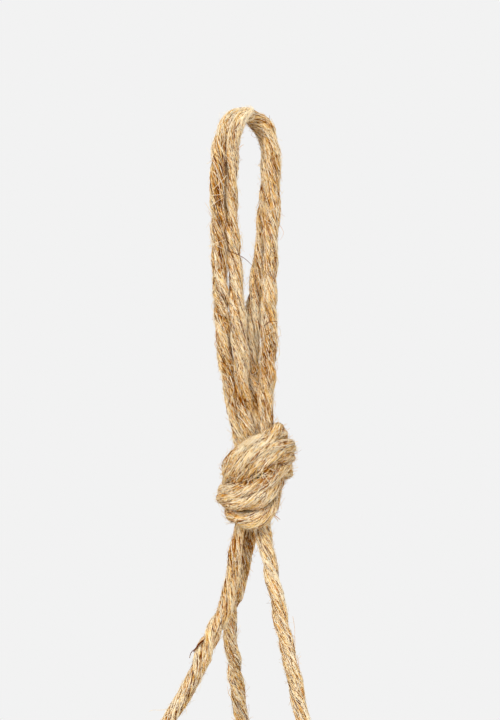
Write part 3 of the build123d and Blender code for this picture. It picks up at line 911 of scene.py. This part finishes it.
class PLANTER_OT_loop(bpy.types.Operator):
    """Two ropes over the hook, running down the neck into the top knot"""

    bl_idname = "planter.loop"
    bl_label = "Loop ropes"

    def execute(self, context):
        rope = context.scene.planter_rope
        for seed, (name, route) in enumerate(LOOP_ROUTES.items(), start=11):
            piece, line, plies = add_rope(
                f"loop_rope_laid_{name}", route, None, rope, seed, FINE_SIDES, FINE_STEP, swells=LOOP_SWELLS)
            bend_neck(piece)
            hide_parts(f"loop_rope_{name}", f"neck_strand_left_{name}", f"neck_strand_right_{name}")
            beds = stretches(plies, TOP_KNOT_TOP_Z, ABOVE_LOOP_Z)
            neck = stretches(plies, TOP_KNOT_TOP_Z, NECK_TOP_Z)
            bend_neck(add_fibres(f"loop_fibres_{name}", beds, None, rope, seed + 6, LOOP_COVER))
            bend_neck(add_fibres(f"loop_tangle_{name}", beds, None, rope, seed + 8, LOOP_TANGLE))
            bend_neck(add_fibres(f"neck_tangle_{name}", neck, None, rope, seed + 14, NECK_TANGLE))
        return {"FINISHED"}


class PLANTER_OT_top_knot(bpy.types.Operator):
    """Three strands wound twice round the neck of the legs"""

    bl_idname = "planter.top_knot"
    bl_label = "Top knot"

    def execute(self, context):
        rope = context.scene.planter_rope
        axis = np.array(TOP_KNOT_AXIS) * MM
        for number, points in enumerate(TOP_KNOT_STRANDS_PX, start=1):
            piece, _, plies = add_rope(
                f"top_knot_strand_{number}", from_picture(points), "hanger", rope, 30 + number, KNOT_SIDES,
                FINE_STEP, TOP_KNOT_THICK, share=TOP_KNOT_PLY_SHARE)
            add_fibres(f"top_knot_fibres_{number}", plies, "hanger", rope, 36 + number, TOP_KNOT_COVER, axis)
        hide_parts("top_knot_core", "top_knot_band")
        return {"FINISHED"}


class PLANTER_OT_legs(bpy.types.Operator):
    """Three legs from the top knot to the knots at the pot's rim"""

    bl_idname = "planter.legs"
    bl_label = "Legs"

    def execute(self, context):
        rope = context.scene.planter_rope
        for seed, (side, route) in enumerate(LEG_ROUTES.items(), start=41):
            piece, line, plies = add_rope(
                f"leg_laid_{side}", route, "hanger", rope, seed, FINE_SIDES, FINE_STEP,
                swells=LEG_SWELLS.get(side, ()), shade=LEG_SHADES[side])
            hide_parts(f"leg_{side}")
            beds = stretches(plies, UPPER_TOP_Z, TOP_KNOT_FOOT_Z)
            add_fibres(f"leg_fibres_{side}", beds, "hanger", rope, seed + 6, LEG_COVER)
        return {"FINISHED"}


class PLANTER_OT_net(bpy.types.Operator):
    """Net knots and the cords between them, round the pot and under its base"""

    bl_idname = "planter.net"
    bl_label = "Net"

    def execute(self, context):
        rope = context.scene.planter_rope
        shift = (ROPE_MM + WINDING_GAP) / 2
        side_turn, low_turn, gap_turn = NET_TURNS
        deep, shallow = KNOT_REACH
        beds = []
        for number, (side, angle) in enumerate(LEG_ANGLES.items()):
            self.wind(f"upper_knot_{side}", around(angle, UPPER_RING_R, UPPER_TOP_Z), rope, 60 + number)
            foot = UPPER_TOP_Z - NET_KNOT_HEIGHT
            levels = [foot - share * (foot - LOWER_TOP_Z) for share in NET_DROPS]
            for way, gap in zip((1, -1), NET_SIDES[side]):
                meet, flare = angle + gap_turn * way, -way * (shift + NET_FLARE_FOOT)
                route = [
                    beside(angle, way * shift * KNOT_PINCH, UPPER_RING_R, foot + deep),
                    beside(angle, way * shift, UPPER_RING_R, foot + shallow),
                    beside(angle, way * (shift + NET_FLARE_TOP), UPPER_RING_R - NET_INSET_TOP, levels[0]),
                    around(angle + side_turn * way, UPPER_RING_R - NET_INSET_SIDE, levels[1]),
                    around(angle + low_turn * way, LOWER_RING_R + NET_OUTSET_SIDE, levels[2]),
                    beside(meet, flare, LOWER_RING_R + NET_OUTSET_FOOT, levels[3]),
                    beside(meet, -way * shift, LOWER_RING_R, LOWER_TOP_Z - shallow),
                    beside(meet, -way * shift * KNOT_PINCH, LOWER_RING_R, LOWER_TOP_Z - deep),
                ]
                plies = self.tie(f"net_cord_{side}_{gap}", route, rope, 70 + 2 * number + way)
                beds += stretches(plies, LOWER_TOP_Z, foot)
        base_z = POT_RIM_Z - POT_HEIGHT
        foot = LOWER_TOP_Z - NET_KNOT_HEIGHT
        under = base_z - ROPE_MM / 2 - FIT
        for number, (gap, angle) in enumerate(GAP_ANGLES.items()):
            self.wind(f"lower_knot_{gap}", around(angle, LOWER_RING_R, LOWER_TOP_Z), rope, 80 + number)
            for way, end in ((1, "a"), (-1, "b")):
                parted = [way * (shift + flare) for flare in BASE_FLARE]
                route = [
                    beside(angle, way * shift * KNOT_PINCH, LOWER_RING_R, foot + deep),
                    beside(angle, way * shift, LOWER_RING_R, foot + shallow),
                    beside(angle, parted[0], LOWER_RING_R - BASE_INSET, foot - BASE_DROP),
                    beside(angle, parted[1], POT_BASE_R + BASE_EDGE_OUTSET[0], base_z + ROPE_MM),
                    beside(angle, parted[2], POT_BASE_R + BASE_EDGE_OUTSET[1], under - BASE_SAG[0]),
                    around(angle + BASE_TURNS[0] * way, 0.62 * POT_BASE_R, under + BASE_SAG[1]),
                    around(angle + BASE_TURNS[1] * way, 2.2 * STRAND_RING_R, under - BASE_SAG[2]),
                    around(angle + CORD_TURN * way, STRAND_RING_R, GATHER_TOP_Z - GATHER_REACH[0]),
                    around(angle + CORD_TURN * way, STRAND_RING_R, GATHER_TOP_Z - GATHER_REACH[1]),
                ]
                plies = self.tie(f"base_cord_{gap}_{end}", route, rope, 90 + 2 * number + way)
                beds += stretches(plies, GATHER_TOP_Z, foot)
        self.gather(rope)
        add_fibres("net_fibres", beds, "hanger", rope, 57, NET_COVER)
        return {"FINISHED"}

    def tie(self, name, route, rope, seed):
        """One free stretch of net cord between two knots."""
        piece, line, plies = add_rope(f"{name}_laid", route, "hanger", rope, seed)
        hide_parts(name)
        return plies

    def wind(self, name, top, rope, seed):
        """A net knot: cord wound twice round the cords that meet there."""
        reach = NET_KNOT_CORE_R + FIT + ROPE_MM / 2
        route = coil(top, reach, NET_KNOT_HEIGHT, NET_KNOT_TURNS, seed * KNOT_START)
        piece, _, plies = add_rope(f"{name}_wound", route, "hanger", rope, seed, thick=WOUND_THICK)
        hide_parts(f"{name}_core", f"{name}_turns")
        self.dress(name, plies, top, rope, seed)

    def dress(self, name, plies, top, rope, seed):
        """Fibres on the outer side of a wound knot."""
        add_fibres(f"{name}_fibres", plies, "hanger", rope, seed + 200, WOUND_COVER, np.array(top[:2]) * MM)

    def gather(self, rope):
        """The gathering knot under the pot: cord wrapped four times round all six cords."""
        top = around(0, 0, GATHER_TOP_Z)
        reach = GATHER_CORE_R + FIT + ROPE_MM / 2
        route = coil(top, reach, GATHER_TOP_Z - PIVOT_Z, GATHER_TURNS, GATHER_START)
        piece, _, plies = add_rope("gather_knot_wound", route, "hanger", rope, 101, thick=WOUND_THICK)
        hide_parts("gather_knot_core", "gather_knot_wraps")
        self.dress("gather_knot", plies, top, rope, 101)


class PLANTER_OT_tassel(bpy.types.Operator):
    """Six free cord ends under the gathering knot"""

    bl_idname = "planter.tassel"
    bl_label = "Tassel"

    def execute(self, context):
        rope = context.scene.planter_rope
        angles = sorted((angle + way * CORD_TURN) % 360 for angle in GAP_ANGLES.values() for way in (1, -1))
        drop = TASSEL_LENGTH
        beds, ends = [], []
        for index, angle in enumerate(angles):
            number = index + 1
            end_z = TASSEL_TOP_Z - drop + TASSEL_STAGGER_Z * (index % 3)
            route = [around(angle, STRAND_RING_R - tuck, PIVOT_Z + rise) for tuck, rise in TASSEL_TUCKS]
            for turn, reach, share in TASSEL_COURSE:
                route.append(around(angle + turn, reach, TASSEL_TOP_Z - share * drop))
            route.append(around(angle, TASSEL_END_R + index % 2, end_z))
            piece, line, plies = add_rope(f"tassel_laid_{number}", route, "tassel", rope, 110 + number)
            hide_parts(f"tassel_strand_{number}")
            beds += stretches(plies, PIVOT_Z - 2 * TASSEL_LENGTH, PIVOT_Z - ROPE_MM - 1)
            ends += [tuple(field[-FRAYED_RINGS:] for field in ply[:5]) + ply[5:] for ply in plies]
        add_fibres("tassel_fibres", beds, "tassel", rope, 127, TASSEL_COVER)
        add_fibres("tassel_fray", ends, "tassel", rope, 128, TASSEL_FRAY)
        return {"FINISHED"}


class PLANTER_OT_pot(bpy.types.Operator):
    """Plain tapered stoneware pot with a foot ring and a drain hole"""

    bl_idname = "planter.pot"
    bl_label = "Pot"

    def execute(self, context):
        base_z = POT_RIM_Z - POT_HEIGHT
        slope = (POT_RIM_R - POT_BASE_R) / POT_HEIGHT
        inner_foot = POT_BASE_R + slope * POT_FLOOR - POT_WALL
        recess_r = POT_BASE_R - POT_FOOT_WIDTH
        # Outline from the drain hole out to the foot, up the outside, over the rim and down the inside
        profile = np.array([
            (POT_DRAIN_R, base_z + POT_FOOT_RECESS), (recess_r - 1, base_z + POT_FOOT_RECESS),
            (recess_r + 0.5, base_z + 0.2), (recess_r + 1.5, base_z), (POT_BASE_R - 4, base_z),
            (POT_BASE_R - 1.2, base_z + 0.8), (POT_BASE_R + 0.1, base_z + 2.4),
            (POT_BASE_R + 0.6, base_z + 4.5), (POT_RIM_R - 0.3, POT_RIM_Z - 2),
            (POT_RIM_R - 0.8, POT_RIM_Z - 0.5), (POT_RIM_R - 2, POT_RIM_Z),
            (POT_RIM_R - POT_WALL + 2, POT_RIM_Z), (POT_RIM_R - POT_WALL + 0.6, POT_RIM_Z - 0.5),
            (POT_RIM_R - POT_WALL - 0.2, POT_RIM_Z - 2), (inner_foot + 0.7, base_z + POT_FLOOR + 5),
            (inner_foot - 0.6, base_z + POT_FLOOR + 1.6), (inner_foot - 3.5, base_z + POT_FLOOR),
            (POT_DRAIN_R, base_z + POT_FLOOR),
        ])
        glazed = stoneware_material(context.scene.planter_pot)
        mesh = turned_mesh("pot_turned", profile, POT_AXIS_X, POT_STEP, POT_SIDES)
        piece = add_piece("pot_turned", mesh, glazed, "pot")
        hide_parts("pot")
        return {"FINISHED"}


class PLANTER_OT_loose_fibres(bpy.types.Operator):
    """Single fibres that stand off the ropes"""

    bl_idname = "planter.loose_fibres"
    bl_label = "Loose fibres"

    def execute(self, context):
        rope = context.scene.planter_rope
        loop_hairs, leg_hairs = [], []
        for points, thick, tone in LOOSE_FIBRES_PX:
            line = route_line(from_picture(points), HAIR_STEP)
            group = loop_hairs if points[0][1] < TOP_KNOT_TOP_PX else leg_hairs
            group.append(plain_tube(line, thick / 2 * MM, tone))
        leg_hairs += self.fuzz()
        fibre = fibre_material(rope)
        bend_neck(add_piece("loop_hairs", tube_mesh("loop_hairs", loop_hairs), fibre, None))
        add_piece("leg_hairs", tube_mesh("leg_hairs", leg_hairs), fibre, "hanger")
        return {"FINISHED"}

    def fuzz(self):
        """Short fibres across the top knot's crease: shallow arcs at random places and angles along it."""
        rng = np.random.default_rng(140)
        line = route_line(from_picture(CREASE_LINE_PX), 0.5 * MM) / MM
        tubes = []
        for place in line[rng.integers(0, len(line), CREASE_FUZZ["count"])]:
            angle, half = rng.uniform(0, math.pi), rng.uniform(*CREASE_FUZZ["halves"])
            reach = half * np.array([math.cos(angle), 0.0, math.sin(angle)])
            back = np.array([0.0, 0.35 * half, 0.0])
            points = place + rng.normal(0, 0.9, 3) + np.array([back - reach, -back, back + reach])
            tone = rng.normal(*CREASE_FUZZ["tone"])
            tubes.append(plain_tube(route_line(points, HAIR_STEP), CREASE_FUZZ["thick"] / 2 * MM, tone))
        return tubes


class PLANTER_OT_stage(bpy.types.Operator):
    """Camera as in the photograph, soft light and a pale background"""

    bl_idname = "planter.stage"
    bl_label = "Stage"

    def execute(self, context):
        stage = context.scene.planter_stage
        scene = context.scene
        scene.view_settings.view_transform = "Standard"
        middle_x = (PICTURE_PX[0] / 2 - HOOK_PX[0]) * PIXEL_MM * MM
        middle_z = (HOOK_PX[1] - PICTURE_PX[1] / 2) * PIXEL_MM * MM
        lens = bpy.data.cameras.new("camera")
        lens.sensor_fit = "VERTICAL"
        lens.sensor_height = SENSOR_MM
        lens.lens = lens.sensor_height * stage.distance / (PICTURE_PX[1] * PIXEL_MM * MM)
        camera = bpy.data.objects.new("camera", lens)
        camera.location = (middle_x, -stage.distance, middle_z)
        camera.rotation_euler = (math.pi / 2, 0, 0)
        scene.collection.objects.link(camera)
        scene.camera = camera
        for name, (place, size, power) in LAMPS.items():
            lamp = bpy.data.lights.new(name, "AREA")
            lamp.size = size
            lamp.energy = power
            holder = bpy.data.objects.new(name, lamp)
            holder.location = place
            aim = np.array(LAMP_AIM) - np.array(place)
            holder.rotation_euler = (
                math.atan2(math.hypot(aim[0], aim[1]), -aim[2]), 0.0, math.atan2(aim[0], -aim[1]) + math.pi,
            )
            scene.collection.objects.link(holder)
        self.paint_world(scene, stage)
        self.lay_floor(scene, stage)
        return {"FINISHED"}

    def paint_world(self, scene, stage):
        """Even grey-white light, with the backdrop colour for what the camera and mirrors see."""
        world = bpy.data.worlds.new("studio")
        scene.world = world
        world.use_nodes = True
        tree = world.node_tree
        tree.nodes.clear()
        path = node(tree, "ShaderNodeLightPath")
        seen = node(tree, "ShaderNodeMath", [
            (0, path.outputs["Is Camera Ray"]), (1, path.outputs["Is Glossy Ray"])], operation="MAXIMUM")
        light = node(tree, "ShaderNodeBackground",
                     inputs={"Color": (1.0, 1.0, 1.0, 1.0), "Strength": WORLD_STRENGTH})
        view = node(tree, "ShaderNodeBackground", inputs={"Color": (*stage.backdrop, 1.0), "Strength": 1.0})
        mix = node(tree, "ShaderNodeMixShader", [
            (0, seen.outputs[0]), (1, light.outputs[0]), (2, view.outputs[0])])
        node(tree, "ShaderNodeOutputWorld", [("Surface", mix.outputs[0])])

    def lay_floor(self, scene, stage):
        """Plain pale floor below the tassel that keeps the planter's shadow and fades into the backdrop."""
        half, low = FLOOR_HALF, CAD_BOX[0][2] - FLOOR_DROP
        mesh = bpy.data.meshes.new("floor")
        corners = [(-half, -half, low), (half, -half, low), (half, half, low), (-half, half, low)]
        mesh.from_pydata(corners, [], [(0, 1, 2, 3)])
        material, tree, shader = new_material("pale_floor")
        shader.inputs["Base Color"].default_value = (*stage.floor, 1.0)
        shader.inputs["Roughness"].default_value = 0.9
        path = node(tree, "ShaderNodeLightPath")
        place = node(tree, "ShaderNodeTexCoord")
        away = node(tree, "ShaderNodeVectorMath", [(0, place.outputs["Object"])], operation="LENGTH")
        fade = node(tree, "ShaderNodeMapRange", [("Value", away.outputs["Value"])],
                    interpolation_type="SMOOTHSTEP",
                    inputs={"From Min": abs(low) + FLOOR_FADE, "From Max": half})
        blend = node(tree, "ShaderNodeMath", [(0, path.outputs["Is Camera Ray"]), (1, fade.outputs[0])],
                     operation="MULTIPLY")
        plain = node(tree, "ShaderNodeEmission", inputs={"Color": (*stage.backdrop, 1.0), "Strength": 1.0})
        mix = node(tree, "ShaderNodeMixShader", [
            (0, blend.outputs[0]), (1, shader.outputs[0]), (2, plain.outputs[0])])
        tree.links.new(mix.outputs[0], tree.nodes["Material Output"].inputs["Surface"])
        mesh.materials.append(material)
        floor = bpy.data.objects.new("floor", mesh)
        scene.collection.objects.link(floor)


class PLANTER_PT_panel(bpy.types.Panel):
    """Lists the steps that build the planter"""

    bl_label = "Rope planter"
    bl_idname = "PLANTER_PT_panel"
    bl_space_type = "VIEW_3D"
    bl_region_type = "UI"
    bl_category = "Planter"

    def draw(self, context):
        for step in STEPS:
            self.layout.operator(step.bl_idname)


GROUPS = {"planter_rope": RopeSettings, "planter_pot": PotSettings, "planter_stage": StageSettings}
STEPS = [
    PLANTER_OT_stage, PLANTER_OT_loop, PLANTER_OT_top_knot, PLANTER_OT_legs, PLANTER_OT_net,
    PLANTER_OT_tassel, PLANTER_OT_pot, PLANTER_OT_loose_fibres,
]


def register():
    """Makes the settings, the steps and the panel known."""
    for group in GROUPS.values():
        bpy.utils.register_class(group)
    for name, group in GROUPS.items():
        setattr(bpy.types.Scene, name, PointerProperty(type=group))
    for step in STEPS:
        bpy.utils.register_class(step)
    bpy.utils.register_class(PLANTER_PT_panel)


def unregister():
    """Takes the panel, the steps and the settings away again."""
    bpy.utils.unregister_class(PLANTER_PT_panel)
    for step in reversed(STEPS):
        bpy.utils.unregister_class(step)
    for name in GROUPS:
        delattr(bpy.types.Scene, name)
    for group in reversed(list(GROUPS.values())):
        bpy.utils.unregister_class(group)


def main():
    """Makes the settings, steps and panel known and runs every step in order."""
    register()
    for step in STEPS:
        family, name = step.bl_idname.split(".")
        getattr(getattr(bpy.ops, family), name)()


if __name__ == "__main__":
    main()
